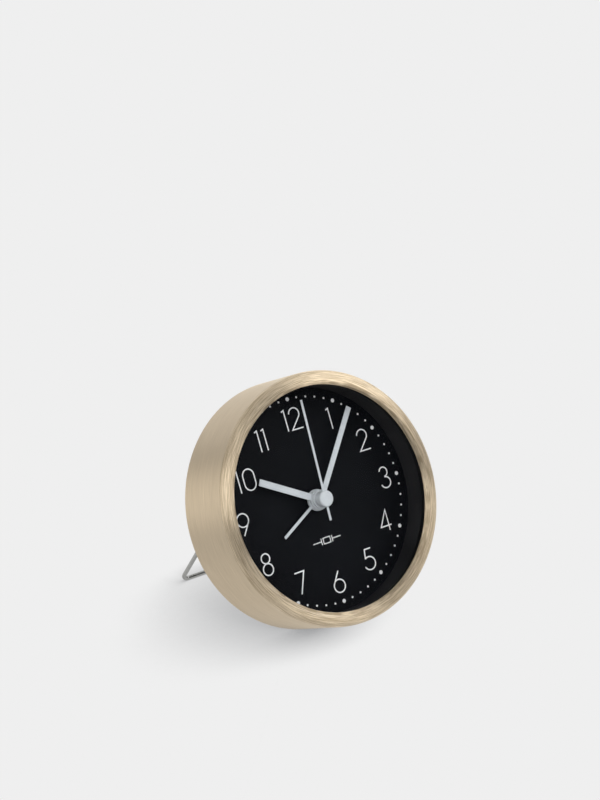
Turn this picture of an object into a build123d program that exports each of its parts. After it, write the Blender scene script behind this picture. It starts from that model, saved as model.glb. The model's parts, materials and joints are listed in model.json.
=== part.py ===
from build123d import *
from math import atan2, cos, degrees, hypot, pi, radians, sin
import os

os.makedirs("parts", exist_ok=True)

# A round travel alarm clock: a metal cup with a black dial behind glass, a quartz alarm movement
# with four coaxial hands, a black back cover with its battery door, knobs and switch, and a folding
# wire stand. Millimetres, +Z up. The clock stands on the rear edge of its case and on the wire, with
# the dial facing -Y and leaning back. The origin is on the table, under the middle of the outline.
#
# Everything is measured in the clock's own coordinates: x to the right, z from 6 to 12 o'clock, and
# a depth along the axis, counted from the front of the case to the back.

# ---------------------------------------------------------------- driving dimensions
LEAN = 27.0  # how far the clock leans back, degrees

CASE_R = 45.0
CASE_DEPTH = 26.6
CASE_WALL = 1.4
FRONT_FILLET = 2.6
LIP_FLAT = 0.4  # width of the flat ring at the very front
LIP_INNER_R = 39.9
LIP_INNER_DEPTH = 1.4  # the lip curves back to here from the flat
LIP_BACK = 1.9

GASKET_BACK = 2.9
GLASS_BACK = 4.5
DIAL_FRONT = 12.8
DIAL_BACK = 13.3
DIAL_HOLE_R = 3.3
SPACER_INNER_R = 40.4
CARRIER_INNER_R = 40.2
CARRIER_BACK = 22.2
FIT_GAP = 0.2  # between the case's wall and the parts stacked in it

COVER_FRONT = 22.4
COVER_R = 41.0
COVER_WALL = 1.8
COVER_BACK = 30.8
COVER_FILLET = 1.6
COVER_SCREW_RADIUS = 36.5  # distance of the cover's screws from the axis
COVER_SCREW_ANGLES = (90, 210, 330)
COVER_SCREW_END = 17.0
SCREW_BOSS_R = 2.85
WEB_OUTWARD = 2.5  # from the screw to the middle of the web that joins its boss to the carrier
WEB_SIZE = (3.6, 2.4)
SCREW_HEAD_R = 2.0
SCREW_HEAD_DEPTH = 1.9  # of the counterbore for the head
SCREW_HEAD_SUNK = 0.5

WIRE_R = 0.8
STAND_PIVOT_X = 14.0
STAND_PIVOT_Z = 15.8
STAND_PIVOT_DEPTH = 32.0
STAND_FOOT_X = 26.1
STAND_FOOT_DEPTH = 77.33
STAND_PIN_END = 18.6
STAND_TOP_BEND = 1.2
STAND_FOOT_BEND = 2.7
LUG_INNER = 15.7
LUG_OUTER = 18.3
STOP_INNER = 12.6  # the stop blocks stand between this and the lugs
STOP_BACK = 35.2
STOP_GAP = 0.12  # between the opened leg and the stop
STOP_TOP = 2.2  # height of the stop's rear corner above the pivot
STOP_ROOT = 5.2  # height of its root above the pivot

HOUSING_X = 28.5  # half width of the movement housing
HOUSING_TOP = 27.0
HOUSING_BOTTOM = -29.3
HOUSING_WALL = 1.2
ROOM_BOTTOM = -11.5  # floor of the gear room, above the battery bay
BAY_TOP = -12.6
BAY_FLOOR = 0.5
HOUSING_CHAMFER = 3.2  # on the corners beside the battery bay, to clear the round cover
BAY_CHAMFER = 2.4
TOP_CHAMFER = 0.8
REAR_WALL_FRONT = 27.8
REAR_WALL_BACK = COVER_BACK - COVER_WALL
FRONT_PLATE_BACK = 14.5
MIDDLE_PLATE_FRONT = 16.2
MIDDLE_PLATE_BACK = 17.2
PLATE_GAP = 0.05

RUN = 0.05  # radial clearance of a running fit
PIVOT_R = 0.4
SHAFT_R = 1.0
SHAFT_END = 35.0
SECOND_ARBOR_R = 0.35
MINUTE_PIPE_R = 0.9
MINUTE_PIPE_END = 21.5
HOUR_PIPE_R = 1.5
ALARM_PIPE_R = 2.1
NECK_R = 3.2

# hands: clockwise angle from 12, width, tail and tip radii, and the depths of the blade's faces
SECOND_HAND = dict(angle=2.2, width=0.8, start=-7.8, end=35.7, front=6.35, back=6.6)
MINUTE_HAND = dict(angle=37.8, width=2.0, start=1.2, end=35.95, front=8.95, back=9.25)
HOUR_HAND = dict(angle=299.3, width=2.4, start=1.8, end=25.0, front=10.4, back=10.7)
ALARM_HAND = dict(angle=242.2, width=1.05, start=2.4, end=19.5, front=11.5, back=11.75)
CAP_R = 2.95
CAP_FRONT = 5.5
CAP_BACK = 8.5
CAP_FILLET = 0.7
MINUTE_BUSH_R = 3.3
MINUTE_BUSH_LEVEL = (8.85, 9.75)
HOUR_BUSH_R = 3.6
HOUR_BUSH_LEVEL = (9.95, 11.05)
ALARM_BUSH_R = 3.85
ALARM_BUSH_LEVEL = (11.35, 12.35)
BUSH_CHAMFER = 0.15

# gear pairs: module, teeth of the wheel and of its pinion
TRAIN_MODULE = 0.3
THIRD_PAIR_MODULE = 0.3 * 34 / 36
SECOND_PAIR_MODULE = 0.375
ROTOR_MODULE = 0.26
MOTION_MODULE = 0.45
HOUR_MODULE = 0.45 * 24 / 25
ALARM_MODULE = 0.58

# gear levels, as depths of the front and back faces
ALARM_LEVEL = (14.9, 15.8)
HOUR_LEVEL = (17.6, 18.4)
MOTION_LEVEL = (18.9, 19.7)
CENTRE_LEVEL = (20.3, 21.1)
THIRD_LEVEL = (21.9, 22.7)
SECOND_LEVEL = (23.5, 24.3)
ROTOR_LEVEL = (25.1, 25.9)

KNOB_R = 5.0
KNOB_FRONT = 31.3
KNOB_BACK = 37.5
SHAFT_HOLE_R = 1.6  # in the back cover

BATTERY_R = 7.1
BATTERY_Z = -20.2
BATTERY_DEPTH = 21.2

DOOR_X = 26.6
DOOR_TOP = -12.6
DOOR_BOTTOM = -28.2
DOOR_GAP = 0.4
DOOR_PIN_R = 0.6
DOOR_PIN_LENGTH = 0.9
PIN_HOLE_LENGTH = 1.5
DOOR_PIN_Z = -27.5
DOOR_PIN_DEPTH = 29.95

SWITCH_X = -24.0
SWITCH_Z = 10.3
SWITCH_TRAVEL = 3.5
WINDOW_HALF = 2.6  # half width of the window in the housing that the slider's hook works through
WINDOW_MARGIN = 3.0
HOOK_FRONT = 28.1
HOOK_BACK = 28.9
HOOK_HALF = 2.2
SLIDER_HALF = 2.1
SLIDER_RIDGES = (-1.3, 0.0, 1.3)

SOUND_SLOT_X = 23.6
SOUND_SLOT_ROWS = (8.5, 11.5, 14.5, 17.5, 20.5)
SOUND_SLOT_SIZE = (6.6, 1.2)

# ---------------------------------------------------------------- the clock's frame
LEAN_SIN = sin(radians(LEAN))
LEAN_COS = cos(radians(LEAN))
BACKWARD = Vector(0, LEAN_COS, -LEAN_SIN)
UPWARD = Vector(0, LEAN_SIN, LEAN_COS)
SIDEWAYS = Vector(1, 0, 0)

# The rear edge of the case touches the table, and so does the foot of the stand.
CENTRE_Z = CASE_DEPTH * LEAN_SIN + CASE_R * LEAN_COS
STAND_FOOT_Z = (WIRE_R + STAND_FOOT_DEPTH * LEAN_SIN - CENTRE_Z) / LEAN_COS
# The outline runs from the bottom of the front fillet to the back of the stand's foot.
FRONT_REACH = FRONT_FILLET * LEAN_COS - (CASE_R - FRONT_FILLET) * LEAN_SIN - FRONT_FILLET
BACK_REACH = STAND_FOOT_DEPTH * LEAN_COS + STAND_FOOT_Z * LEAN_SIN + WIRE_R
CENTRE_Y = -(FRONT_REACH + BACK_REACH) / 2
CENTRE = Vector(0, CENTRE_Y, CENTRE_Z)


def point(x, depth, z):
    """A place in the clock's own coordinates."""
    return CENTRE + SIDEWAYS * x + BACKWARD * depth + UPWARD * z


def face(depth, x=0.0, z=0.0):
    """A plane across the axis that looks forward; its sketch is drawn as seen from the front."""
    return Plane(origin=point(x, depth, z), x_dir=SIDEWAYS, z_dir=-BACKWARD)


def section(x=0.0, z=0.0):
    """A plane through the axis of a round part, for a profile of (radius, depth)."""
    return Plane(origin=point(x, 0, z), x_dir=SIDEWAYS, z_dir=UPWARD)


def side(x):
    """A plane across the clock, for a profile of (depth, height)."""
    return Plane(origin=point(x, 0, 0), x_dir=BACKWARD, z_dir=SIDEWAYS)


def axis_at(x=0.0, z=0.0):
    return Axis(point(x, 0, z), BACKWARD)


def polar(radius, angle):
    return (radius * cos(radians(angle)), radius * sin(radians(angle)))


def save(builder, name):
    builder.part.label = name
    export_step(builder.part, f"parts/{name}.step")


def ring(front, back, outer, inner=0.0, at=(0.0, 0.0), mode=Mode.ADD):
    """A disc or ring between two depths, about an axis through at."""
    with BuildSketch(face(back, *at)) as outline:
        Circle(outer)
        if inner:
            Circle(inner, mode=Mode.SUBTRACT)
    extrude(outline.sketch, amount=back - front, mode=mode)


def block(front, back, left, right, bottom, top, mode=Mode.ADD):
    """A rectangular block between two depths."""
    with BuildSketch(face(back)) as outline:
        with Locations(((left + right) / 2, (bottom + top) / 2)):
            Rectangle(right - left, top - bottom)
    extrude(outline.sketch, amount=back - front, mode=mode)


def blade(hand, mode=Mode.ADD):
    """The straight bar of a hand, at its clock angle."""
    middle = (hand["start"] + hand["end"]) / 2
    turn = radians(hand["angle"])
    with BuildSketch(face(hand["back"])) as outline:
        with Locations((middle * sin(turn), middle * cos(turn))):
            Rectangle(hand["width"], hand["end"] - hand["start"], rotation=-hand["angle"])
    extrude(outline.sketch, amount=hand["back"] - hand["front"], mode=mode)


# ---------------------------------------------------------------- gear teeth
ADDENDUM = 0.7
DEDENDUM = 1.1
PITCH_WIDTH = 0.41  # share of the circular pitch that the tooth takes on the pitch circle
TIP_WIDTH = 0.2
ROOT_WIDTH = 0.56


def gear_points(teeth, module, turn):
    """Corners of a gear with straight-sided teeth; one tooth is centred at the angle turn."""
    pitch_r = teeth * module / 2
    tip_r = pitch_r + ADDENDUM * module
    root_r = pitch_r - DEDENDUM * module
    step = 360 / teeth
    tip_half = TIP_WIDTH * pi * module / tip_r * 90 / pi
    root_half = ROOT_WIDTH * pi * module / root_r * 90 / pi
    corners = []
    for tooth in range(teeth):
        middle = turn + tooth * step
        corners.append(polar(root_r, middle - root_half))
        corners.append(polar(tip_r, middle - tip_half))
        corners.append(polar(tip_r, middle + tip_half))
        corners.append(polar(root_r, middle + root_half))
    return corners


def gear(level, teeth, module, bore, at=(0.0, 0.0), turn=0.0):
    """A toothed disc with a round bore."""
    front, back = level
    with BuildSketch(face(back, *at)) as outline:
        with BuildLine():
            Polyline(*gear_points(teeth, module, turn), close=True)
        make_face()
        Circle(bore, mode=Mode.SUBTRACT)
    extrude(outline.sketch, amount=back - front)


def spokes(level, rim_r, hub_r, count, at=(0.0, 0.0)):
    """Round openings between the hub and the rim of a wheel."""
    front, back = level
    middle_r = (rim_r + hub_r) / 2
    with BuildSketch(face(back, *at)) as outline:
        with PolarLocations(middle_r, count):
            Circle((rim_r - hub_r) / 2)
    extrude(outline.sketch, amount=back - front, mode=Mode.SUBTRACT)


def meshing_turn(driver_at, driver_teeth, driver_turn, at, teeth):
    """The angle of one tooth of a gear that puts its gap on the driver's tooth."""
    line = degrees(atan2(at[1] - driver_at[1], at[0] - driver_at[0]))
    offset = driver_turn - line
    return line + 180 - offset * driver_teeth / teeth + 180 / teeth


# Places of the arbors, at the centre distances that their gear pairs need
CENTRE_AT = (0.0, 0.0)
THIRD_AT = polar(TRAIN_MODULE * (60 + 8) / 2, 4)
MOTION_AT = polar(MOTION_MODULE * (36 + 12) / 2, 125)
INTERMEDIATE_AT = polar(SECOND_PAIR_MODULE * (48 + 8) / 2, 178)
ALARM_AT = polar(ALARM_MODULE * (36 + 12) / 2, 62)
ROTOR_DISTANCE = ROTOR_MODULE * (50 + 10) / 2
ROTOR_AT = tuple(a + b for a, b in zip(INTERMEDIATE_AT, polar(ROTOR_DISTANCE, 135)))
PIEZO_AT = (17.3, 15.3)
SOUNDER_PLATE_R = 8.8
SOUNDER_PLATE_FRONT = 27.4
SOUNDER_DISC_R = 6.2
SOUNDER_DISC_FRONT = 27.1
SOUND_HOLE_R = 1.2
SOUND_HOLE_RADIUS = 5.6  # distance of the outer holes from the middle one

POSTS = [(x, z) for x in (-25.2, 25.2) for z in (-9.3, 23.6)]
COVER_SCREWS = [polar(COVER_SCREW_RADIUS, angle) for angle in COVER_SCREW_ANGLES]


# ================================================================ case, glass and dial
stack_r = CASE_R - CASE_WALL - FIT_GAP
lip_outer = CASE_R - FRONT_FILLET

with BuildPart() as case:
    with BuildSketch(section()):
        with BuildLine():
            TangentArc((lip_outer - LIP_FLAT, 0), (LIP_INNER_R, LIP_INNER_DEPTH), tangent=(-1, 0))
            Line((lip_outer - LIP_FLAT, 0), (lip_outer, 0))
            TangentArc((lip_outer, 0), (CASE_R, FRONT_FILLET), tangent=(1, 0))
            Line((CASE_R, FRONT_FILLET), (CASE_R, CASE_DEPTH))
            Line((CASE_R, CASE_DEPTH), (CASE_R - CASE_WALL, CASE_DEPTH))
            Line((CASE_R - CASE_WALL, CASE_DEPTH), (CASE_R - CASE_WALL, LIP_BACK))
            Line((CASE_R - CASE_WALL, LIP_BACK), (LIP_INNER_R, LIP_BACK))
            Line((LIP_INNER_R, LIP_BACK), (LIP_INNER_R, LIP_INNER_DEPTH))
        make_face()
    revolve(axis=axis_at())
save(case, "case")

with BuildPart() as glass_gasket:
    ring(LIP_BACK, GASKET_BACK, stack_r, SPACER_INNER_R)
save(glass_gasket, "glass_gasket")

with BuildPart() as glass:
    ring(GASKET_BACK, GLASS_BACK, stack_r)
save(glass, "glass")

with BuildPart() as spacer_ring:
    ring(GLASS_BACK, DIAL_FRONT, stack_r, SPACER_INNER_R)
save(spacer_ring, "spacer_ring")

with BuildPart() as dial:
    ring(DIAL_FRONT, DIAL_BACK, stack_r, DIAL_HOLE_R)
save(dial, "dial")

with BuildPart() as dial_carrier:
    ring(DIAL_BACK, CARRIER_BACK, stack_r, CARRIER_INNER_R)
    for x, z in COVER_SCREWS:
        ring(DIAL_BACK, CARRIER_BACK, SCREW_BOSS_R, at=(x, z))
    with BuildSketch(face(CARRIER_BACK)) as webs:
        with PolarLocations(COVER_SCREW_RADIUS + WEB_OUTWARD, 3, start_angle=90):
            Rectangle(*WEB_SIZE)
    extrude(webs.sketch, amount=CARRIER_BACK - DIAL_BACK)
    for x, z in COVER_SCREWS:
        ring(DIAL_BACK + 1.0, CARRIER_BACK, SHAFT_R, at=(x, z), mode=Mode.SUBTRACT)
save(dial_carrier, "dial_carrier")

# ================================================================ hands
with BuildPart() as second_hand:
    blade(SECOND_HAND)
save(second_hand, "second_hand")

with BuildPart() as second_hand_cap:
    ring(CAP_FRONT, CAP_BACK, CAP_R)
    fillet(second_hand_cap.edges().filter_by(GeomType.CIRCLE).sort_by(axis_at())[0], CAP_FILLET)
    blade(SECOND_HAND, mode=Mode.SUBTRACT)
    ring(SECOND_HAND["back"], CAP_BACK, SECOND_ARBOR_R, mode=Mode.SUBTRACT)
save(second_hand_cap, "second_hand_cap")

HANDS = [
    ("minute_hand", MINUTE_HAND, MINUTE_BUSH_R, MINUTE_PIPE_R, MINUTE_BUSH_LEVEL),
    ("hour_hand", HOUR_HAND, HOUR_BUSH_R, HOUR_PIPE_R, HOUR_BUSH_LEVEL),
    ("alarm_hand", ALARM_HAND, ALARM_BUSH_R, ALARM_PIPE_R, ALARM_BUSH_LEVEL),
]
for name, hand, bush_r, bore_r, (front, back) in HANDS:
    with BuildPart() as hand_blade:
        blade(hand)
    save(hand_blade, name)
    with BuildPart() as bush:
        ring(front, back, bush_r)
        chamfer(bush.edges().filter_by(GeomType.CIRCLE).sort_by(axis_at())[0], BUSH_CHAMFER)
        blade(hand, mode=Mode.SUBTRACT)
        ring(front, back, bore_r, mode=Mode.SUBTRACT)
    save(bush, f"{name}_bush")

# ================================================================ going train
second_turn = 0.0
intermediate_pinion_turn = meshing_turn(CENTRE_AT, 48, second_turn, INTERMEDIATE_AT, 8)
rotor_turn = meshing_turn(INTERMEDIATE_AT, 50, 0.0, ROTOR_AT, 10)
third_wheel_turn = meshing_turn(CENTRE_AT, 8, 0.0, THIRD_AT, 60)
third_pinion_turn = meshing_turn(CENTRE_AT, 64, 0.0, THIRD_AT, 8)
arbor_end = REAR_WALL_BACK - 0.4
arbor_start = MIDDLE_PLATE_FRONT + 0.2
hub_pad = 0.1  # how far a pinion stands out of its mating wheel, on each face


def padded(level):
    return (level[0] - hub_pad, level[1] + hub_pad)


with BuildPart() as second_arbor:
    ring(SECOND_HAND["back"], arbor_end, SECOND_ARBOR_R)
save(second_arbor, "second_arbor")

with BuildPart() as second_wheel:
    gear(SECOND_LEVEL, 48, SECOND_PAIR_MODULE, SECOND_ARBOR_R, turn=second_turn)
    spokes(SECOND_LEVEL, 7.6, 2.4, 5)
    gear(padded(THIRD_LEVEL), 8, TRAIN_MODULE, SECOND_ARBOR_R)
    ring(THIRD_LEVEL[1] + hub_pad, SECOND_LEVEL[0], 0.8, SECOND_ARBOR_R)
save(second_wheel, "second_wheel")

with BuildPart() as third_arbor:
    ring(arbor_start, arbor_end, PIVOT_R, at=THIRD_AT)
save(third_arbor, "third_arbor")

with BuildPart() as third_wheel:
    gear(THIRD_LEVEL, 60, TRAIN_MODULE, PIVOT_R, THIRD_AT, third_wheel_turn)
    spokes(THIRD_LEVEL, 7.8, 2.6, 5, THIRD_AT)
    gear(padded(CENTRE_LEVEL), 8, THIRD_PAIR_MODULE, PIVOT_R, THIRD_AT, third_pinion_turn)
    ring(CENTRE_LEVEL[1] + hub_pad, THIRD_LEVEL[0], 0.8, PIVOT_R, at=THIRD_AT)
save(third_wheel, "third_wheel")

with BuildPart() as centre_wheel:
    gear(CENTRE_LEVEL, 64, THIRD_PAIR_MODULE, MINUTE_PIPE_R + RUN / 2)
    spokes(CENTRE_LEVEL, 7.8, 2.6, 5)
save(centre_wheel, "centre_wheel")

with BuildPart() as intermediate_arbor:
    ring(arbor_start, arbor_end, PIVOT_R, at=INTERMEDIATE_AT)
save(intermediate_arbor, "intermediate_arbor")

with BuildPart() as intermediate_wheel:
    gear(ROTOR_LEVEL, 50, ROTOR_MODULE, PIVOT_R, INTERMEDIATE_AT)
    spokes(ROTOR_LEVEL, 5.6, 1.8, 4, INTERMEDIATE_AT)
    gear(
        padded(SECOND_LEVEL), 8, SECOND_PAIR_MODULE, PIVOT_R, INTERMEDIATE_AT,
        intermediate_pinion_turn,
    )
    ring(SECOND_LEVEL[1] + hub_pad, ROTOR_LEVEL[0], 1.0, PIVOT_R, at=INTERMEDIATE_AT)
save(intermediate_wheel, "intermediate_wheel")

ROTOR_PIVOT_R = 0.3
MAGNET_R = 3.0
MAGNET_LEVEL = (21.7, 24.0)
with BuildPart() as rotor_pinion:
    gear(padded(ROTOR_LEVEL), 10, ROTOR_MODULE, ROTOR_PIVOT_R, ROTOR_AT, rotor_turn)
    ring(MAGNET_LEVEL[1], ROTOR_LEVEL[0] - hub_pad, 0.8, ROTOR_PIVOT_R, at=ROTOR_AT)
save(rotor_pinion, "rotor_pinion")

with BuildPart() as rotor_arbor:
    ring(arbor_start, arbor_end, ROTOR_PIVOT_R, at=ROTOR_AT)
save(rotor_arbor, "rotor_arbor")

with BuildPart() as rotor_magnet:
    ring(*MAGNET_LEVEL, MAGNET_R, ROTOR_PIVOT_R, at=ROTOR_AT)
save(rotor_magnet, "rotor_magnet")

# ================================================================ motion work and alarm setting
motion_wheel_turn = meshing_turn(CENTRE_AT, 12, 0.0, MOTION_AT, 36)
motion_pinion_turn = meshing_turn(CENTRE_AT, 40, 0.0, MOTION_AT, 10)
alarm_pinion_turn = meshing_turn(CENTRE_AT, 36, 0.0, ALARM_AT, 12)

with BuildPart() as minute_pipe:
    ring(MINUTE_BUSH_LEVEL[0], MINUTE_PIPE_END, MINUTE_PIPE_R, SECOND_ARBOR_R + RUN)
    gear(padded(MOTION_LEVEL), 12, MOTION_MODULE, SECOND_ARBOR_R + RUN)
save(minute_pipe, "minute_pipe")

with BuildPart() as hour_wheel:
    ring(HOUR_BUSH_LEVEL[0], HOUR_LEVEL[1], HOUR_PIPE_R, MINUTE_PIPE_R + RUN)
    gear(HOUR_LEVEL, 40, HOUR_MODULE, MINUTE_PIPE_R + RUN)
save(hour_wheel, "hour_wheel")

with BuildPart() as alarm_wheel:
    ring(ALARM_BUSH_LEVEL[0], ALARM_LEVEL[1], ALARM_PIPE_R, HOUR_PIPE_R + RUN)
    gear(ALARM_LEVEL, 36, ALARM_MODULE, HOUR_PIPE_R + RUN)
    spokes(ALARM_LEVEL, 8.9, 3.2, 6)
save(alarm_wheel, "alarm_wheel")

with BuildPart() as minute_work_wheel:
    gear(padded(HOUR_LEVEL), 10, HOUR_MODULE, SHAFT_R, MOTION_AT, motion_pinion_turn)
    gear(MOTION_LEVEL, 36, MOTION_MODULE, SHAFT_R, MOTION_AT, motion_wheel_turn)
    ring(HOUR_LEVEL[1] + hub_pad, MOTION_LEVEL[0], 1.6, SHAFT_R, at=MOTION_AT)
save(minute_work_wheel, "minute_work_wheel")

SHAFT_TIP_R = 0.6
with BuildPart() as time_set_shaft:
    ring(arbor_start, HOUR_LEVEL[0] - hub_pad, SHAFT_TIP_R, at=MOTION_AT)
    ring(HOUR_LEVEL[0] - hub_pad, SHAFT_END, SHAFT_R, at=MOTION_AT)
save(time_set_shaft, "time_set_shaft")

with BuildPart() as alarm_set_shaft:
    ring(DIAL_BACK + 0.5, ALARM_LEVEL[0], SHAFT_TIP_R, at=ALARM_AT)
    ring(ALARM_LEVEL[0], SHAFT_END, SHAFT_R, at=ALARM_AT)
save(alarm_set_shaft, "alarm_set_shaft")

with BuildPart() as alarm_set_pinion:
    gear(ALARM_LEVEL, 12, ALARM_MODULE, SHAFT_R, ALARM_AT, alarm_pinion_turn)
save(alarm_set_pinion, "alarm_set_pinion")

KNOB_FLUTES = 24
for name, at in (("time_set_knob", MOTION_AT), ("alarm_set_knob", ALARM_AT)):
    with BuildPart() as knob:
        with BuildSketch(section(*at)):
            with BuildLine():
                Polyline((0, KNOB_FRONT), (KNOB_R, KNOB_FRONT), (KNOB_R - 0.3, KNOB_BACK - 0.8))
                RadiusArc((KNOB_R - 0.3, KNOB_BACK - 0.8), (KNOB_R - 1.1, KNOB_BACK), -0.8)
                Polyline((KNOB_R - 1.1, KNOB_BACK), (2.2, KNOB_BACK), (0, KNOB_BACK - 0.5))
                Line((0, KNOB_BACK - 0.5), (0, KNOB_FRONT))
            make_face()
        revolve(axis=axis_at(*at))
        with BuildSketch(face(KNOB_BACK, *at)) as flutes:
            with PolarLocations(KNOB_R + 0.15, KNOB_FLUTES):
                Circle(0.4)
        extrude(flutes.sketch, amount=KNOB_BACK - KNOB_FRONT - 0.9, mode=Mode.SUBTRACT)
        ring(KNOB_FRONT, SHAFT_END, SHAFT_R, at=at, mode=Mode.SUBTRACT)
    save(knob, name)

# ================================================================ movement plates and housing
plate_x = HOUSING_X - HOUSING_WALL - PLATE_GAP
plate_bottom = ROOM_BOTTOM + PLATE_GAP
plate_top = HOUSING_TOP - HOUSING_WALL - PLATE_GAP
POST_R = 1.9
MOVEMENT_SCREW_R = 0.7
MOVEMENT_SCREW_END = 21.5
MOVEMENT_SCREW_HOLE_END = 22.0
MOVEMENT_HEAD_R = 1.4
MOVEMENT_HEAD_BACK = DIAL_BACK + 0.6
window_top = SWITCH_Z + SWITCH_TRAVEL + WINDOW_MARGIN

with BuildPart() as movement_front_plate:
    block(DIAL_BACK, FRONT_PLATE_BACK, -plate_x, plate_x, plate_bottom, plate_top)
    ring(DIAL_FRONT - 0.05, DIAL_BACK, NECK_R)
    ring(DIAL_FRONT - 0.05, FRONT_PLATE_BACK, ALARM_PIPE_R + RUN, mode=Mode.SUBTRACT)
    tip_hole = SHAFT_TIP_R + RUN
    ring(DIAL_BACK + 0.4, FRONT_PLATE_BACK, tip_hole, at=ALARM_AT, mode=Mode.SUBTRACT)
    for post in POSTS:
        ring(DIAL_BACK, MOVEMENT_HEAD_BACK, MOVEMENT_HEAD_R, at=post, mode=Mode.SUBTRACT)
        ring(DIAL_BACK, FRONT_PLATE_BACK, MOVEMENT_SCREW_R, at=post, mode=Mode.SUBTRACT)
save(movement_front_plate, "movement_front_plate")

with BuildPart() as movement_middle_plate:
    block(MIDDLE_PLATE_FRONT, MIDDLE_PLATE_BACK, -plate_x, plate_x, plate_bottom, plate_top)
    for post in POSTS:
        ring(FRONT_PLATE_BACK, MIDDLE_PLATE_FRONT, POST_R, at=post)
    holes = [
        (CENTRE_AT, HOUR_PIPE_R),
        (THIRD_AT, PIVOT_R),
        (INTERMEDIATE_AT, PIVOT_R),
        (ROTOR_AT, ROTOR_PIVOT_R),
        (MOTION_AT, SHAFT_TIP_R),
        (ALARM_AT, SHAFT_R),
    ]
    for at, radius in holes:
        ring(MIDDLE_PLATE_FRONT, MIDDLE_PLATE_BACK, radius + RUN, at=at, mode=Mode.SUBTRACT)
    for post in POSTS:
        ring(FRONT_PLATE_BACK, MIDDLE_PLATE_BACK, MOVEMENT_SCREW_R, at=post, mode=Mode.SUBTRACT)
save(movement_middle_plate, "movement_middle_plate")

with BuildPart() as movement_housing:
    block(DIAL_BACK, REAR_WALL_BACK, -HOUSING_X, HOUSING_X, HOUSING_BOTTOM, HOUSING_TOP)
    corners = movement_housing.edges().filter_by(axis_at()).sort_by(Axis(CENTRE, UPWARD))
    chamfer(corners[0:2], HOUSING_CHAMFER)
    chamfer(corners[2:4], TOP_CHAMFER)
    room_x = HOUSING_X - HOUSING_WALL
    room_top = HOUSING_TOP - HOUSING_WALL
    block(DIAL_BACK, REAR_WALL_FRONT, -room_x, room_x, ROOM_BOTTOM, room_top, Mode.SUBTRACT)
    bay_bottom = HOUSING_BOTTOM + 1.1
    bay_front = DIAL_BACK + BAY_FLOOR
    with BuildSketch(face(REAR_WALL_BACK)) as bay:
        with Locations((0, (bay_bottom + BAY_TOP) / 2)):
            Rectangle(2 * room_x, BAY_TOP - bay_bottom)
        chamfer(bay.vertices().group_by(Axis.Y)[0], BAY_CHAMFER)
    extrude(bay.sketch, amount=REAR_WALL_BACK - bay_front, mode=Mode.SUBTRACT)
    for post in POSTS:
        ring(MIDDLE_PLATE_BACK, REAR_WALL_FRONT, POST_R, at=post)
        ring(MIDDLE_PLATE_BACK, MOVEMENT_SCREW_HOLE_END, MOVEMENT_SCREW_R, at=post, mode=Mode.SUBTRACT)
    holes = [
        (CENTRE_AT, SECOND_ARBOR_R),
        (THIRD_AT, PIVOT_R),
        (INTERMEDIATE_AT, PIVOT_R),
        (ROTOR_AT, ROTOR_PIVOT_R),
        (MOTION_AT, SHAFT_R),
        (ALARM_AT, SHAFT_R),
    ]
    for at, radius in holes:
        ring(REAR_WALL_FRONT, REAR_WALL_BACK, radius + RUN, at=at, mode=Mode.SUBTRACT)
    with BuildSketch(face(REAR_WALL_BACK, *PIEZO_AT)) as sound_holes:
        with PolarLocations(SOUND_HOLE_RADIUS, 8):
            Circle(SOUND_HOLE_R)
        Circle(SOUND_HOLE_R)
    extrude(sound_holes.sketch, amount=REAR_WALL_BACK - REAR_WALL_FRONT, mode=Mode.SUBTRACT)
    block(
        REAR_WALL_FRONT, REAR_WALL_BACK, SWITCH_X - WINDOW_HALF, SWITCH_X + WINDOW_HALF,
        SWITCH_Z - WINDOW_MARGIN, window_top, Mode.SUBTRACT,
    )
save(movement_housing, "movement_housing")

with BuildPart() as movement_screws:
    for post in POSTS:
        ring(DIAL_BACK + 0.05, MOVEMENT_HEAD_BACK, MOVEMENT_HEAD_R, at=post)
        ring(MOVEMENT_HEAD_BACK, MOVEMENT_SCREW_END, MOVEMENT_SCREW_R, at=post)
        ring(DIAL_BACK + 0.05, DIAL_BACK + 0.3, 0.5, at=post, mode=Mode.SUBTRACT)
save(movement_screws, "movement_screws")

# ================================================================ motor and electronics
STATOR_LEVEL = (22.2, 23.2)
STATOR_LEFT = -26.0
STATOR_ARM = -21.2  # where the two arms that reach to the coil begin
STATOR_RIGHT = -12.2
STATOR_BOTTOM = -6.5
STATOR_TOP = 20.5
COIL_X = -24.2
CORE_THICK = 1.0
CORE_HALF = 1.2
COIL_BOTTOM = -3.5
COIL_TOP = 17.5
WINDING_R = 2.5

with BuildPart() as stator:
    front, back = STATOR_LEVEL
    block(front, back, STATOR_ARM, STATOR_RIGHT, STATOR_BOTTOM, STATOR_TOP)
    block(front, back, STATOR_LEFT, STATOR_ARM, COIL_TOP, STATOR_TOP)
    block(front, back, STATOR_LEFT, STATOR_ARM, STATOR_BOTTOM, COIL_BOTTOM)
    ring(front, back, MAGNET_R + 0.5, at=ROTOR_AT, mode=Mode.SUBTRACT)
save(stator, "stator")

with BuildPart() as coil_core:
    core_ends = (STATOR_BOTTOM + 0.3, STATOR_TOP - 0.3)
    block(back, back + CORE_THICK, COIL_X - CORE_HALF, COIL_X + CORE_HALF, *core_ends)
save(coil_core, "coil_core")

core_middle = STATOR_LEVEL[1] + CORE_THICK / 2


def coil_block(left, right, front, back, bottom, top, mode=Mode.ADD):
    block(core_middle + front, core_middle + back, COIL_X + left, COIL_X + right, bottom, top, mode)


with BuildPart() as coil_bobbin:
    coil_block(-1.6, 1.6, -0.9, 0.9, COIL_BOTTOM + 0.2, COIL_TOP - 0.2)
    for z in (COIL_BOTTOM + 0.2, COIL_TOP - 0.9):
        coil_block(-2.8, 2.8, -2.6, 2.6, z, z + 0.7)
    half_thick = CORE_THICK / 2
    coil_block(-CORE_HALF, CORE_HALF, -half_thick, half_thick, COIL_BOTTOM, COIL_TOP, Mode.SUBTRACT)
save(coil_bobbin, "coil_bobbin")

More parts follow.
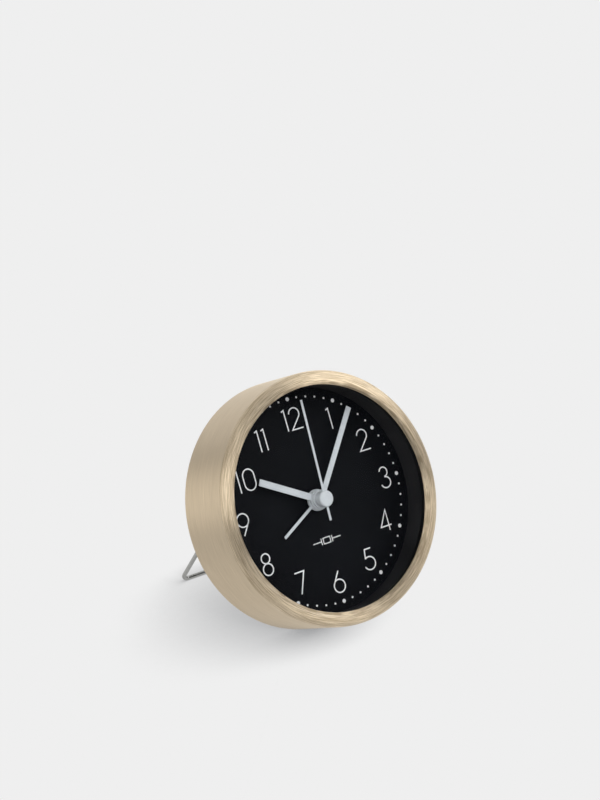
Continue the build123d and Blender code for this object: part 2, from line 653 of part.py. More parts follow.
with BuildPart() as coil_winding:
    with BuildSketch(Plane(point(COIL_X, core_middle, COIL_BOTTOM + 0.9), SIDEWAYS, UPWARD)):
        RectangleRounded(2 * WINDING_R, 4.6, 1.6)
        Rectangle(3.2, 1.8, mode=Mode.SUBTRACT)
    extrude(amount=COIL_TOP - COIL_BOTTOM - 1.8)
save(coil_winding, "coil_winding")

BOARD_LEVEL = (20.2, 21.0)
with BuildPart() as circuit_board:
    block(*BOARD_LEVEL, 10.2, 22.8, 12.2, 25.6)
    ring(*BOARD_LEVEL, SHAFT_R, at=(20.5, 23.3), mode=Mode.SUBTRACT)
save(circuit_board, "circuit_board")

with BuildPart() as controller_chip:
    ring(BOARD_LEVEL[1], BOARD_LEVEL[1] + 0.9, 2.4, at=(14.0, 20.6))
    fillet(controller_chip.edges().filter_by(GeomType.CIRCLE).sort_by(axis_at())[-1], 0.7)
save(controller_chip, "controller_chip")

with BuildPart() as quartz_crystal:
    with BuildSketch(Plane(point(12.2, BOARD_LEVEL[1] + 1.05, 14.8), UPWARD, SIDEWAYS)):
        Circle(1.05)
    extrude(amount=6.0)
save(quartz_crystal, "quartz_crystal")

with BuildPart() as capacitor:
    block(BOARD_LEVEL[1], BOARD_LEVEL[1] + 1.2, 18.6, 21.8, 18.2, 20.0)
save(capacitor, "capacitor")

with BuildPart() as sounder_plate:
    ring(SOUNDER_PLATE_FRONT, REAR_WALL_FRONT, SOUNDER_PLATE_R, at=PIEZO_AT)
save(sounder_plate, "sounder_plate")

with BuildPart() as sounder_disc:
    ring(SOUNDER_DISC_FRONT, SOUNDER_PLATE_FRONT, SOUNDER_DISC_R, at=PIEZO_AT)
save(sounder_disc, "sounder_disc")

with BuildPart() as alarm_contact_spring:
    block(MIDDLE_PLATE_BACK, MIDDLE_PLATE_BACK + 0.2, -24.5, -12.5, -5.5, -3.5)
save(alarm_contact_spring, "alarm_contact_spring")

# ================================================================ battery and its contacts
BATTERY_START = -25.0
BATTERY_END = 24.2
BUTTON_R = 2.7
BUTTON_HEIGHT = 1.1
LEAF_THICK = 0.4
bay_wall = HOUSING_X - HOUSING_WALL  # inner end of the battery bay
with BuildPart() as battery:
    with BuildSketch(Plane(point(BATTERY_START, BATTERY_DEPTH, BATTERY_Z), UPWARD, SIDEWAYS)):
        Circle(BATTERY_R)
    extrude(amount=BATTERY_END - BATTERY_START)
    ends = battery.edges().filter_by(GeomType.CIRCLE)
    fillet(ends, 0.6)
    with BuildSketch(Plane(point(BATTERY_END, BATTERY_DEPTH, BATTERY_Z), UPWARD, SIDEWAYS)):
        Circle(BUTTON_R)
    extrude(amount=BUTTON_HEIGHT)
save(battery, "battery")

with BuildPart() as battery_contact_positive:
    leaf_left = BATTERY_END + BUTTON_HEIGHT
    leaf_right = leaf_left + LEAF_THICK
    block(17.0, 26.5, leaf_left, leaf_right, -25.5, -15.0)
    block(21.0, 21.0 + LEAF_THICK, leaf_right, bay_wall, -22.0, -18.0)
save(battery_contact_positive, "battery_contact_positive")

with BuildPart() as battery_contact_negative:
    with BuildSketch(face(25.0)) as leaf:
        with BuildLine():
            Polyline(
                (-bay_wall, -25.4), (LEAF_THICK - bay_wall, -25.4), (LEAF_THICK - bay_wall, -24.2),
                (BATTERY_START, BATTERY_Z), (-26.5, -15.6), (-26.9, -15.6),
                (BATTERY_START - 0.5, BATTERY_Z), (-bay_wall, -24.2), close=True,
            )
        make_face()
    extrude(leaf.sketch, amount=8.0)
save(battery_contact_negative, "battery_contact_negative")

# ================================================================ back cover
door_opening_x = DOOR_X + DOOR_GAP
door_opening_top = DOOR_TOP + DOOR_GAP
door_opening_bottom = DOOR_BOTTOM - DOOR_GAP
screw_seat = COVER_BACK - SCREW_HEAD_DEPTH
leg_run = hypot(STAND_FOOT_DEPTH - STAND_PIVOT_DEPTH, STAND_PIVOT_Z - STAND_FOOT_Z)
leg_fall = (STAND_PIVOT_Z - STAND_FOOT_Z) / leg_run
leg_back = (STAND_FOOT_DEPTH - STAND_PIVOT_DEPTH) / leg_run
# The stop's underside runs along the top of the opened leg.
stop_offset = (WIRE_R + STOP_GAP) / leg_back
lug_root = COVER_BACK - 0.3  # the lugs and stops run this far into the cover


def stop_height(depth):
    return STAND_PIVOT_Z + stop_offset - (depth - STAND_PIVOT_DEPTH) * leg_fall / leg_back


with BuildPart() as back_cover:
    with BuildSketch(section()):
        with BuildLine():
            Polyline(
                (0, COVER_BACK), (0, REAR_WALL_BACK), (COVER_R - COVER_WALL, REAR_WALL_BACK),
                (COVER_R - COVER_WALL, COVER_FRONT), (stack_r, COVER_FRONT), (stack_r, CASE_DEPTH),
                (COVER_R, CASE_DEPTH), (COVER_R, COVER_BACK), close=True,
            )
        make_face()
    revolve(axis=axis_at())
    outer_edge = back_cover.edges().filter_by(GeomType.CIRCLE).sort_by(axis_at())[-1]
    fillet(outer_edge, COVER_FILLET)
    for screw in COVER_SCREWS:
        ring(CARRIER_BACK, COVER_BACK - 0.1, SCREW_BOSS_R, at=screw)
        ring(CARRIER_BACK, COVER_BACK, 1.3, at=screw, mode=Mode.SUBTRACT)
        ring(screw_seat, COVER_BACK, SCREW_HEAD_R + 0.2, at=screw, mode=Mode.SUBTRACT)
    block(
        REAR_WALL_BACK, COVER_BACK, -door_opening_x, door_opening_x, door_opening_bottom,
        door_opening_top, Mode.SUBTRACT,
    )
    with BuildSketch(side(-DOOR_X - PIN_HOLE_LENGTH)) as pin_holes:
        with Locations((DOOR_PIN_DEPTH, DOOR_PIN_Z)):
            Circle(DOOR_PIN_R + RUN)
    extrude(pin_holes.sketch, amount=2 * (DOOR_X + PIN_HOLE_LENGTH), mode=Mode.SUBTRACT)
    block(
        REAR_WALL_BACK, REAR_WALL_BACK + 1.0, -3.2, 3.2, door_opening_top, door_opening_top + 1.0,
        Mode.SUBTRACT,
    )
    for at in (MOTION_AT, ALARM_AT):
        ring(REAR_WALL_BACK, COVER_BACK, SHAFT_HOLE_R, at=at, mode=Mode.SUBTRACT)
        ring(COVER_BACK - 0.4, COVER_BACK, KNOB_R + 0.7, SHAFT_HOLE_R, at=at, mode=Mode.SUBTRACT)
    switch_slot_top = SWITCH_Z + SWITCH_TRAVEL + 1.45
    block(
        REAR_WALL_BACK, COVER_BACK, SWITCH_X - 1.15, SWITCH_X + 1.15, SWITCH_Z - 1.45,
        switch_slot_top, Mode.SUBTRACT,
    )
    with BuildSketch(face(COVER_BACK)) as slots:
        for z in SOUND_SLOT_ROWS:
            with Locations((SOUND_SLOT_X, z)):
                SlotOverall(*SOUND_SLOT_SIZE)
    extrude(slots.sketch, amount=COVER_WALL, mode=Mode.SUBTRACT)
    for outward in (-1, 1):
        with BuildSketch(side(outward * LUG_INNER)) as lug:
            with BuildLine():
                Polyline(
                    (lug_root, STAND_PIVOT_Z - 2.4), (STAND_PIVOT_DEPTH + 1.0, STAND_PIVOT_Z - 2.0),
                    (STAND_PIVOT_DEPTH + 2.2, STAND_PIVOT_Z), (STOP_BACK, stop_height(STOP_BACK)),
                    (STOP_BACK - 0.8, STAND_PIVOT_Z + STOP_TOP),
                    (lug_root, STAND_PIVOT_Z + STOP_ROOT), close=True,
                )
            make_face()
        extrude(lug.sketch, amount=outward * (LUG_OUTER - LUG_INNER))
        with BuildSketch(side(outward * STOP_INNER)) as stop:
            with BuildLine():
                Polyline(
                    (lug_root, stop_height(lug_root)), (STOP_BACK, stop_height(STOP_BACK)),
                    (STOP_BACK - 0.8, STAND_PIVOT_Z + STOP_TOP),
                    (lug_root, STAND_PIVOT_Z + STOP_ROOT), close=True,
                )
            make_face()
        extrude(stop.sketch, amount=outward * (LUG_INNER - STOP_INNER))
        with BuildSketch(side(outward * LUG_INNER)) as pivot_hole:
            with Locations((STAND_PIVOT_DEPTH, STAND_PIVOT_Z)):
                Circle(WIRE_R + RUN)
        extrude(pivot_hole.sketch, amount=outward * (LUG_OUTER - LUG_INNER), mode=Mode.SUBTRACT)
save(back_cover, "back_cover")

with BuildPart() as cover_screws:
    for screw in COVER_SCREWS:
        ring(screw_seat, COVER_BACK - SCREW_HEAD_SUNK, SCREW_HEAD_R, at=screw)
        ring(COVER_SCREW_END, screw_seat, SHAFT_R, at=screw)
        with BuildSketch(face(COVER_BACK - SCREW_HEAD_SUNK, *screw)) as cross:
            Rectangle(2.4, 0.5)
            Rectangle(0.5, 2.4)
        extrude(cross.sketch, amount=0.7, mode=Mode.SUBTRACT)
save(cover_screws, "cover_screws")

with BuildPart() as battery_door:
    block(REAR_WALL_BACK + 0.1, COVER_BACK, -DOOR_X, DOOR_X, DOOR_BOTTOM, DOOR_TOP)
    lower = battery_door.edges().filter_by(Axis.X).sort_by(Axis(point(0, 0, 0), UPWARD))[0:2]
    fillet(lower, 0.6)
    with BuildSketch(side(-DOOR_X - DOOR_PIN_LENGTH)) as pins:
        with Locations((DOOR_PIN_DEPTH, DOOR_PIN_Z)):
            Circle(DOOR_PIN_R)
    extrude(pins.sketch, amount=2 * (DOOR_X + DOOR_PIN_LENGTH))
    block(REAR_WALL_BACK + 0.1, REAR_WALL_BACK + 0.7, -2.8, 2.8, DOOR_TOP, DOOR_TOP + 0.9)
    for z in (-14.4, -15.6, -16.8):
        block(COVER_BACK - 0.35, COVER_BACK, -4.5, 4.5, z - 0.3, z + 0.3, Mode.SUBTRACT)
save(battery_door, "battery_door")

slider_front = COVER_BACK + 0.1
slider_back = COVER_BACK + 0.9
with BuildPart() as alarm_switch_slider:
    left = SWITCH_X - SLIDER_HALF
    right = SWITCH_X + SLIDER_HALF
    block(slider_front, slider_back, left, right, SWITCH_Z - 2.0, SWITCH_Z + 2.0)
    for z in SLIDER_RIDGES:
        block(slider_back, slider_back + 0.6, left, right, SWITCH_Z + z - 0.35, SWITCH_Z + z + 0.35)
    neck = (SWITCH_X - 1.1, SWITCH_X + 1.1, SWITCH_Z - 1.35, SWITCH_Z + 1.35)
    block(HOOK_BACK, slider_front, *neck)
    hook = (SWITCH_X - HOOK_HALF, SWITCH_X + HOOK_HALF, SWITCH_Z - HOOK_HALF, SWITCH_Z + HOOK_HALF)
    block(HOOK_FRONT, HOOK_BACK, *hook)
save(alarm_switch_slider, "alarm_switch_slider")

STRIP_FRONT = 27.4
with BuildPart() as alarm_switch_contact:
    for left, right in ((-3.0, -0.6), (0.6, 3.0)):
        block(
            STRIP_FRONT, REAR_WALL_FRONT, SWITCH_X + left, SWITCH_X + right, SWITCH_Z - 4.0,
            window_top + 1.0,
        )
save(alarm_switch_contact, "alarm_switch_contact")

# ================================================================ wire stand
stand_points = [
    (STAND_PIN_END, STAND_PIVOT_DEPTH, STAND_PIVOT_Z),
    (STAND_PIVOT_X, STAND_PIVOT_DEPTH, STAND_PIVOT_Z),
    (STAND_FOOT_X, STAND_FOOT_DEPTH, STAND_FOOT_Z),
]
mirrored = [(-x, depth, z) for x, depth, z in reversed(stand_points)]
stand_bends = [STAND_TOP_BEND, STAND_FOOT_BEND, STAND_FOOT_BEND, STAND_TOP_BEND]

with BuildPart() as wire_stand:
    with BuildLine() as stand_path:
        FilletPolyline(*[point(*place) for place in stand_points + mirrored], radius=stand_bends)
    with BuildSketch(Plane(point(STAND_PIN_END, STAND_PIVOT_DEPTH, STAND_PIVOT_Z), UPWARD, -SIDEWAYS)):
        Circle(WIRE_R)
    sweep(path=stand_path.line)
save(wire_stand, "wire_stand")
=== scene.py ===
import bmesh
import bpy
import json
import math
from mathutils import Matrix, Vector


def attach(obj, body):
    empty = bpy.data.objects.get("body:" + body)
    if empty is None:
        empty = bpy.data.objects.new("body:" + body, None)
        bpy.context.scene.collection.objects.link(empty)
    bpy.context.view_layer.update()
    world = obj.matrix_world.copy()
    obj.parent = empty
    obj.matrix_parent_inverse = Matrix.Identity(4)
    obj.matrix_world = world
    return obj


# Looks for a round travel alarm clock in brushed pale gold, with a black dial. The CAD frame holds
# the shapes; this script adds the print on the dial, every material, the camera and the studio.
# Lengths are in millimetres in the clock's own coordinates (x right, depth from front to back,
# z from 6 to 12), and are turned into metres in the shared frame by clock_matrix.

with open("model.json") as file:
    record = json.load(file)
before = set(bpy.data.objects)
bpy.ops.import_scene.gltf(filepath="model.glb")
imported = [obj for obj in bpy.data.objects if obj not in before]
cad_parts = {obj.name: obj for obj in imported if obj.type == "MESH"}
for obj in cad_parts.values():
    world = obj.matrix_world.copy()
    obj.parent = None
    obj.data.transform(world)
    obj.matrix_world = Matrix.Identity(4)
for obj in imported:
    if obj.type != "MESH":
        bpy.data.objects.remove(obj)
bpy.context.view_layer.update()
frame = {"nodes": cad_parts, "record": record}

MM = 0.001
JOINTS = {joint["name"]: joint for joint in frame["record"]["behaviour"]["joints"]}
HAND_JOINT_DEPTH = 15.0  # the second hand's joint is stated this far behind the front of the case

BACKWARD = Vector(JOINTS["second_hand_turn"]["axis"]).normalized()
SIDEWAYS = Vector((1, 0, 0))
UPWARD = SIDEWAYS.cross(BACKWARD)
CENTRE = Vector(JOINTS["second_hand_turn"]["pos_m"]) - BACKWARD * HAND_JOINT_DEPTH * MM

clock_matrix = Matrix((
    (SIDEWAYS.x * MM, BACKWARD.x * MM, UPWARD.x * MM, CENTRE.x),
    (SIDEWAYS.y * MM, BACKWARD.y * MM, UPWARD.y * MM, CENTRE.y),
    (SIDEWAYS.z * MM, BACKWARD.z * MM, UPWARD.z * MM, CENTRE.z),
    (0, 0, 0, 1),
))


# ================================================================ camera
CAMERA_TURN = 36.81  # degrees to the left of the clock's front
CAMERA_TILT = 23.2  # degrees above the table
CAMERA_DISTANCE = 589.9
CAMERA_RIGHT = -11.93
CAMERA_UP = 32.93
LENS = 76.28
SENSOR = 36.0
SHIFT = (-0.0016, 0.0029)  # in widths of the picture
CLIP = (0.01, 50)  # metres


def make_camera():
    turn = math.radians(CAMERA_TURN)
    tilt = math.radians(CAMERA_TILT)
    ahead = Vector((math.sin(turn) * math.cos(tilt), math.cos(turn) * math.cos(tilt), -math.sin(tilt)))
    right = Vector((math.cos(turn), -math.sin(turn), 0))
    above = right.cross(ahead)
    data = bpy.data.cameras.new("camera")
    camera = bpy.data.objects.new("camera", data)
    bpy.context.scene.collection.objects.link(camera)
    offset = ahead * -CAMERA_DISTANCE + right * CAMERA_RIGHT + above * CAMERA_UP
    camera.location = CENTRE + offset * MM
    camera.rotation_mode = "QUATERNION"
    camera.rotation_quaternion = ahead.to_track_quat("-Z", "Y")
    data.lens = LENS
    data.sensor_width = SENSOR
    data.shift_x, data.shift_y = SHIFT
    data.clip_start, data.clip_end = CLIP
    bpy.context.scene.camera = camera


make_camera()


# ================================================================ shader nodes
NOISE_LOW = 0.3  # a noise texture hardly leaves the stretch between these two
NOISE_HIGH = 0.7


def colour(red, green, blue):
    return (red, green, blue, 1.0)


class Nodes:
    """The node tree of a material or world, with short calls for the nodes used here."""

    def __init__(self, owner, output):
        self.owner = owner
        owner.use_nodes = True
        self.tree = owner.node_tree
        self.tree.nodes.clear()
        self.output = self.node(output)

    def node(self, kind, inputs=None, **settings):
        node = self.tree.nodes.new("ShaderNode" + kind)
        for name, value in settings.items():
            setattr(node, name, value)
        for key, value in (inputs or {}).items():
            self.feed(node.inputs[key], value)
        return node

    def feed(self, socket, value):
        if isinstance(value, bpy.types.NodeSocket):
            self.tree.links.new(value, socket)
        else:
            socket.default_value = value

    def math(self, operation, *values):
        node = self.tree.nodes.new("ShaderNodeMath")
        node.operation = operation
        for socket, value in zip(node.inputs, values):
            self.feed(socket, value)
        return node.outputs[0]

    def vector(self, operation, *values):
        node = self.tree.nodes.new("ShaderNodeVectorMath")
        node.operation = operation
        for socket, value in zip(node.inputs, values):
            self.feed(socket, value)
        return node.outputs[1 if operation in ("DOT_PRODUCT", "LENGTH") else 0]

    def combine(self, x, y, z):
        return self.node("CombineXYZ", {"X": x, "Y": y, "Z": z}).outputs[0]

    def noise(self, where, scale, detail=3.0, roughness=0.55):
        inputs = {"Vector": where, "Scale": scale, "Detail": detail, "Roughness": roughness}
        return self.node("TexNoise", inputs).outputs["Fac"]

    def ramp(self, value, low, high, low_out, high_out, kind="LINEAR"):
        inputs = {
            "Value": value, "From Min": low, "From Max": high, "To Min": low_out, "To Max": high_out,
        }
        return self.node("MapRange", inputs, interpolation_type=kind).outputs["Result"]

    def spread(self, noise, low_out, high_out):
        """A number that goes from low_out to high_out with the noise."""
        return self.ramp(noise, NOISE_LOW, NOISE_HIGH, low_out, high_out)

    def mix(self, factor, first, second):
        node = self.node("Mix", data_type="RGBA")
        self.feed(node.inputs["Factor"], factor)
        self.feed(node.inputs["A"], first)
        self.feed(node.inputs["B"], second)
        return node.outputs["Result"]

    def shade(self, value, dark, light, low=NOISE_LOW, high=NOISE_HIGH):
        """A colour that goes from dark to light as the value goes from low to high."""
        return self.mix(self.ramp(value, low, high, 0.0, 1.0), colour(*dark), colour(*light))

    def bump(self, height, distance, strength, normal=None):
        inputs = {"Height": height, "Distance": distance, "Strength": strength}
        if normal:
            inputs["Normal"] = normal
        return self.node("Bump", inputs).outputs["Normal"]

    def show(self, shader):
        """Make this shader the surface of the material or world."""
        self.tree.links.new(shader.outputs[0], self.output.inputs["Surface"])

    def principled(self, **inputs):
        names = {key.replace("_", " ").title().replace("Ior", "IOR"): value for key, value in inputs.items()}
        self.show(self.node("BsdfPrincipled", names))

    def clock_coordinates(self):
        """x, depth and z in millimetres, in the clock's own coordinates."""
        place = self.node("TexCoord").outputs["Object"]
        from_centre = self.vector("SUBTRACT", place, CENTRE)
        axes = (SIDEWAYS, BACKWARD, UPWARD)
        return [self.vector("DOT_PRODUCT", from_centre, axis / MM) for axis in axes]

    def place(self):
        """The clock's own coordinates as one vector."""
        return self.combine(*self.clock_coordinates())


def material_nodes(name):
    return Nodes(bpy.data.materials.new(name), "OutputMaterial")


# ================================================================ materials
# The brush strokes are noise wound round the clock's axis, each given as its scale along the stroke,
# its scale across the stroke, its detail and its roughness.
COARSE_STROKES = (5.0, 4.6, 1.0, 0.5)
FINE_STROKES = (8.0, 6.5, 2.0, 0.6)
BROAD_STROKES = (2.2, 0.45, 2.0, 0.5)
COARSE_SHARE = 0.55  # the fine strokes have the rest
BROAD_WEIGHT = 0.07
RING_TO_SIDE = (2.0, 3.2)  # depths between which the front ring's brushing gives way to the side's
RING_CONTRAST = 2.1
SIDE_CONTRAST = 0.35
GOLD_DARK = (0.47, 0.365, 0.235)
GOLD_LIGHT = (0.78, 0.65, 0.465)
WORN_RADII = (42.1, 42.9)  # the wear fades out between these
WORN_DEPTHS = (1.3, 1.5)  # and between these
WORN_SHARE = 0.8
WORN_LEAN = 0.34  # how much the worn slope leans outwards


def brushed_gold():
    """Pale gold anodised aluminium, brushed round the axis and most strongly on the front ring."""
    n = material_nodes("brushed_gold")
    from_centre = n.vector("SUBTRACT", n.node("TexCoord").outputs["Object"], CENTRE)
    round_axis = n.vector("CROSS_PRODUCT", BACKWARD, from_centre)
    x, depth, z = n.clock_coordinates()
    radius = n.math("SQRT", n.math("ADD", n.math("MULTIPLY", x, x), n.math("MULTIPLY", z, z)))
    # the direction from the axis keeps the strokes whole all the way round
    along_x = n.math("DIVIDE", x, radius)
    along_z = n.math("DIVIDE", z, radius)
    across = n.math("ADD", radius, depth)

    def strokes(along_scale, across_scale, detail, roughness):
        where = n.combine(
            n.math("MULTIPLY", along_x, along_scale),
            n.math("MULTIPLY", along_z, along_scale),
            n.math("MULTIPLY", across, across_scale),
        )
        return n.noise(where, 1.0, detail, roughness)

    coarse = n.math("MULTIPLY", strokes(*COARSE_STROKES), COARSE_SHARE)
    fine = n.math("MULTIPLY", strokes(*FINE_STROKES), 1 - COARSE_SHARE)
    texture = n.math("ADD", coarse, fine)
    contrast = n.ramp(depth, *RING_TO_SIDE, RING_CONTRAST, SIDE_CONTRAST)
    tone = n.math("ADD", 0.5, n.math("MULTIPLY", n.math("SUBTRACT", texture, 0.5), contrast))
    broad = n.math("SUBTRACT", strokes(*BROAD_STROKES), 0.5)
    tone = n.math("ADD", tone, n.math("MULTIPLY", broad, BROAD_WEIGHT))
    # brushing wears the inner slope of the ring flatter than it was turned
    bare = n.node("NewGeometry").outputs["Normal"]
    worn = n.math(
        "MULTIPLY", n.ramp(radius, *WORN_RADII, WORN_SHARE, 0.0), n.ramp(depth, *WORN_DEPTHS, 1.0, 0.0)
    )
    outward = n.vector("NORMALIZE", n.vector("CROSS_PRODUCT", round_axis, BACKWARD))
    flat = n.vector("ADD", -BACKWARD, n.vector("MULTIPLY", outward, (WORN_LEAN, WORN_LEAN, WORN_LEAN)))
    tilt = n.vector("MULTIPLY", n.combine(worn, worn, worn), n.vector("SUBTRACT", flat, bare))
    smooth = n.vector("NORMALIZE", n.vector("ADD", bare, tilt))
    n.principled(
        base_color=n.shade(tone, GOLD_DARK, GOLD_LIGHT, low=0.34, high=0.66),
        metallic=1.0,
        roughness=n.spread(tone, 0.50, 0.41),
        normal=n.bump(texture, distance=0.00005, strength=0.6, normal=smooth),
        tangent=round_axis,
        anisotropic=1.0,
        anisotropic_rotation=0.25,
        coat_weight=0.6,
        coat_roughness=0.38,
        coat_ior=1.5,
    )
    return n.owner


def moulded_plastic(name, dark, light, rough, grain=2.2):
    """Moulded plastic with a fine spark-eroded grain and faint cloudiness."""
    n = material_nodes(name)
    fine = n.noise(n.place(), scale=grain, detail=3.0, roughness=0.6)
    cloud = n.noise(n.place(), scale=0.09, detail=2.0)
    n.principled(
        base_color=n.shade(cloud, dark, light),
        roughness=n.spread(fine, rough - 0.07, rough + 0.09),
        normal=n.bump(fine, distance=0.00003, strength=0.7),
    )
    return n.owner


def dial_lacquer():
    """Satin black lacquer on the dial plate."""
    n = material_nodes("dial_lacquer")
    cloud = n.noise(n.place(), scale=0.05, detail=2.0)
    n.principled(
        base_color=n.shade(cloud, (0.0022, 0.0026, 0.0042), (0.0036, 0.0042, 0.0062)),
        roughness=n.spread(cloud, 0.5, 0.58),
        specular_ior_level=0.05,
    )
    return n.owner


def painted(name, dark, light, rough):
    """Satin paint with a trace of unevenness."""
    n = material_nodes(name)
    fine = n.noise(n.place(), scale=5.0, detail=2.0)
    cloud = n.noise(n.place(), scale=0.35, detail=3.0)
    n.principled(
        base_color=n.shade(cloud, dark, light, low=0.35, high=0.65),
        roughness=n.spread(fine, rough - 0.05, rough + 0.06),
        normal=n.bump(fine, distance=0.000008, strength=0.6),
    )
    return n.owner


def drawn_metal(name, dark, light, low, high, metallic=1.0, layers=1.0):
    """Bare metal with fine marks, of a roughness from low to high; layers packs the marks in depth."""
    n = material_nodes(name)
    x, depth, z = n.clock_coordinates()
    where = n.combine(x, n.math("MULTIPLY", depth, layers), z)
    marks = n.noise(where, scale=2.5, detail=4.0, roughness=0.6)
    patches = n.noise(where, scale=0.3, detail=2.0)
    tone = n.math("ADD", n.math("MULTIPLY", marks, 0.6), n.math("MULTIPLY", patches, 0.4))
    n.principled(
        base_color=n.shade(tone, dark, light, low=0.35, high=0.65),
        metallic=metallic,
        roughness=n.spread(marks, low, high),
        normal=n.bump(marks, distance=0.00001, strength=0.6),
    )
    return n.owner


MIRROR_SHARE = 0.1  # of what bare glass would mirror


def clear_glass():
    """Thin flat glass: light goes straight through, and a little is mirrored."""
    n = material_nodes("clear_glass")
    haze = n.noise(n.place(), scale=0.12, detail=2.0)
    clear = n.node("BsdfTransparent", {"Color": colour(0.985, 0.99, 0.99)})
    shine = n.node("BsdfGlossy", {"Color": colour(1, 1, 1), "Roughness": n.spread(haze, 0.01, 0.05)})
    mirrored = n.math("MULTIPLY", n.node("Fresnel", {"IOR": 1.3}).outputs[0], MIRROR_SHARE)
    n.show(n.node("MixShader", {0: mirrored, 1: clear.outputs[0], 2: shine.outputs[0]}))
    return n.owner


WINDING_WAVE = 45.0  # radians per millimetre along the coil


def copper_winding():
    """Enamelled wire wound in close turns along the coil."""
    n = material_nodes("copper_winding")
    x, depth, z = n.clock_coordinates()
    turns = n.math("SINE", n.math("MULTIPLY", z, WINDING_WAVE))
    tint = n.noise(n.combine(x, depth, z), scale=1.2, detail=2.0)
    n.principled(
        base_color=n.shade(tint, (0.42, 0.13, 0.05), (0.75, 0.3, 0.13)),
        metallic=0.9,
        roughness=n.spread(tint, 0.25, 0.4),
        normal=n.bump(turns, distance=0.00003, strength=0.8),
    )
    return n.owner


TRACK_WAVE = 3.2  # radians per millimetre across the board
TRACK_EDGE = 0.35  # a track runs wherever the wave is above this


def circuit_mask():
    """Green solder mask with faint copper tracks below it."""
    n = material_nodes("circuit_mask")
    x, depth, z = n.clock_coordinates()
    wave = n.math("SINE", n.math("MULTIPLY", n.math("ADD", x, z), TRACK_WAVE))
    tracks = n.math("GREATER_THAN", wave, TRACK_EDGE)
    weave = n.noise(n.combine(x, depth, z), scale=2.0, detail=3.0)
    n.principled(
        base_color=n.mix(n.math("MULTIPLY", tracks, 0.8), colour(0.01, 0.09, 0.035), colour(0.03, 0.2, 0.07)),
        roughness=n.spread(weave, 0.2, 0.34),
        normal=n.bump(tracks, distance=0.00002, strength=0.5),
    )
    return n.owner


BATTERY_MIDDLE_X = -0.4
SLEEVE_HALF = 24.3  # half length of the sleeve, which leaves the steel ends bare
GOLD_END_X = 12.0  # the sleeve is gold to the right of this


def battery_sleeve():
    """A plain two-tone printed sleeve, with bare steel at the ends."""
    n = material_nodes("battery_sleeve")
    x, depth, z = n.clock_coordinates()
    gold_end = n.math("GREATER_THAN", x, GOLD_END_X)
    from_middle = n.math("ABSOLUTE", n.math("SUBTRACT", x, BATTERY_MIDDLE_X))
    bare = n.math("GREATER_THAN", from_middle, SLEEVE_HALF)
    scuffs = n.noise(n.combine(x, depth, z), scale=0.8, detail=4.0, roughness=0.65)
    body = n.mix(gold_end, colour(0.015, 0.017, 0.022), colour(0.55, 0.3, 0.1))
    body = n.mix(bare, body, colour(0.6, 0.6, 0.58))
    n.principled(
        base_color=n.mix(n.ramp(scuffs, 0.55, 0.8, 0.0, 0.4), body, colour(0.3, 0.3, 0.3)),
        metallic=0.6,
        roughness=n.spread(scuffs, 0.22, 0.42),
        normal=n.bump(scuffs, distance=0.00001, strength=0.5),
    )
    return n.owner


MATERIALS = {
    "gold_aluminium": brushed_gold(),
    "black_plastic": moulded_plastic("black_plastic", (0.010, 0.010, 0.011), (0.018, 0.018, 0.02), 0.45),
    "dial_black": dial_lacquer(),
    "hand_white": painted("hand_paint", (0.57, 0.60, 0.635), (0.62, 0.65, 0.68), 0.38),
    "glass": clear_glass(),
    "steel": drawn_metal("drawn_steel", (0.36, 0.36, 0.345), (0.45, 0.45, 0.43), 0.26, 0.36),
    "gear_acetal": moulded_plastic("gear_acetal", (0.66, 0.65, 0.6), (0.78, 0.77, 0.72), 0.4),
    "gear_brass": drawn_metal("gear_brass", (0.5, 0.34, 0.12), (0.78, 0.58, 0.28), 0.24, 0.4),
    "movement_plastic": moulded_plastic("movement_plastic", (0.02, 0.02, 0.022), (0.035, 0.035, 0.038), 0.5),
    "copper": copper_winding(),
    "silicon_steel": drawn_metal(
        "silicon_steel", (0.3, 0.3, 0.31), (0.48, 0.48, 0.5), 0.35, 0.55, layers=9
    ),
    "magnet": drawn_metal("magnet", (0.05, 0.05, 0.055), (0.1, 0.1, 0.11), 0.45, 0.65, metallic=0.4),
    "board_green": circuit_mask(),
    "epoxy": moulded_plastic("epoxy", (0.008, 0.008, 0.009), (0.014, 0.014, 0.016), 0.18, grain=0.8),
    "ceramic_white": moulded_plastic("ceramic_white", (0.7, 0.68, 0.62), (0.8, 0.79, 0.74), 0.55),
    "nickel": drawn_metal("nickel", (0.5, 0.48, 0.43), (0.68, 0.66, 0.6), 0.16, 0.3),
    "battery_sleeve": battery_sleeve(),
    "rubber": moulded_plastic("rubber", (0.012, 0.012, 0.012), (0.02, 0.02, 0.02), 0.7),
}

for subpart in frame["record"]["subparts"]:
    node = frame["nodes"][subpart["node"]]
    node.data.materials.clear()
    node.data.materials.append(MATERIALS[subpart["material_slot"]])


# ================================================================ printed dial
DIAL_FRONT = 12.8
PRINT_THICK = 0.03
PRINT_SUNK = 0.02  # the print reaches this far into the dial, so that no gap shows
STROKE = 0.46
MITRE_LIMIT = 0.45  # keeps a sharp corner of a stroke from reaching too far
NUMERAL_HEIGHT = 8.1
TRACK_RADIUS = 37.16
MINUTES = 60
DOT_R = 0.37
HOUR_DOT_R = 0.72
DOT_SIDES = 24

SYMBOL_Z = -14.7
SYMBOL_STROKE = 0.28
CRYSTAL_HALF = (1.5, 1.05)
ELECTRODE_X = 2.35
ELECTRODE_HALF = 1.2
LEAD_END_X = 6.1

PRINT_WHITE = painted("dial_print", (0.86, 0.87, 0.88), (0.92, 0.92, 0.93), 0.5)


def ride_clock(mesh, name, body, material):
    mesh.transform(clock_matrix)
    thing = bpy.data.objects.new(name, mesh)
    bpy.context.scene.collection.objects.link(thing)
    mesh.materials.append(material)
    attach(thing, body)


